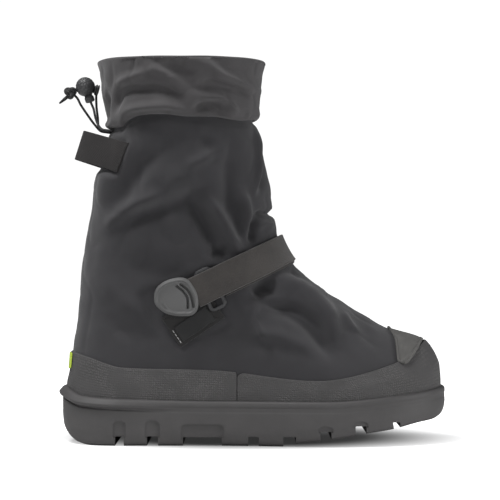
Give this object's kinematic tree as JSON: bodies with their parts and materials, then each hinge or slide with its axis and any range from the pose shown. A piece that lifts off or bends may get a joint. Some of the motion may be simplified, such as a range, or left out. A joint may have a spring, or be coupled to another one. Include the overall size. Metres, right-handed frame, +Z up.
{
  "type": "winter overshoe",
  "caption": "Pull-on fabric overshoe with a lugged cup sole, rubberised band, instep strap with a moulded grip, pull loop and a corded cuff; right foot.",
  "frame": {"origin": "on the floor under the middle of the heel lug", "axes": "+X towards the toe, +Y towards the inner side of the foot, +Z up"},
  "size_m": [0.3188, 0.1213, 0.3119],
  "materials": {
    "outsole": "moulded, matt",
    "insole": "felt board",
    "upper": "plain woven nylon, matt",
    "collar": "plain woven nylon, matt",
    "rand_heel": "textured, matt",
    "rand_front": "textured, matt",
    "toe_patch": "finely ribbed, matt",
    "heel_patch": "smooth, matt",
    "strap": "loop pile webbing",
    "strap_lower": "webbing",
    "strap_ring": "satin moulding",
    "strap_grip": "moulded, matt",
    "strap_anchor": "webbing",
    "label": "woven, bare",
    "pull_loop": "webbing",
    "cord_lock": "satin moulding",
    "cord_lock_button": "satin moulding",
    "cord_knot": "braided cord",
    "cord_left": "braided cord",
    "cord_right": "braided cord",
    "cord_strand": "braided cord",
    "cord_tail": "braided cord"
  },
  "bodies": {
    "root": {"outsole": "outsole", "insole": "insole", "upper": "upper", "collar": "collar", "rand_heel": "rand_heel", "rand_front": "rand_front", "toe_patch": "toe_patch", "heel_patch": "heel_patch", "strap": "strap", "strap_lower": "strap_lower", "strap_ring": "strap_ring", "strap_grip": "strap_grip", "strap_anchor": "strap_anchor", "label": "label", "pull_loop": "pull_loop", "cord_lock": "cord_lock", "cord_lock_button": "cord_lock_button", "cord_knot": "cord_knot", "cord_left": "cord_left", "cord_right": "cord_right", "cord_strand": "cord_strand", "cord_tail": "cord_tail"}
  },
  "joints": []
}
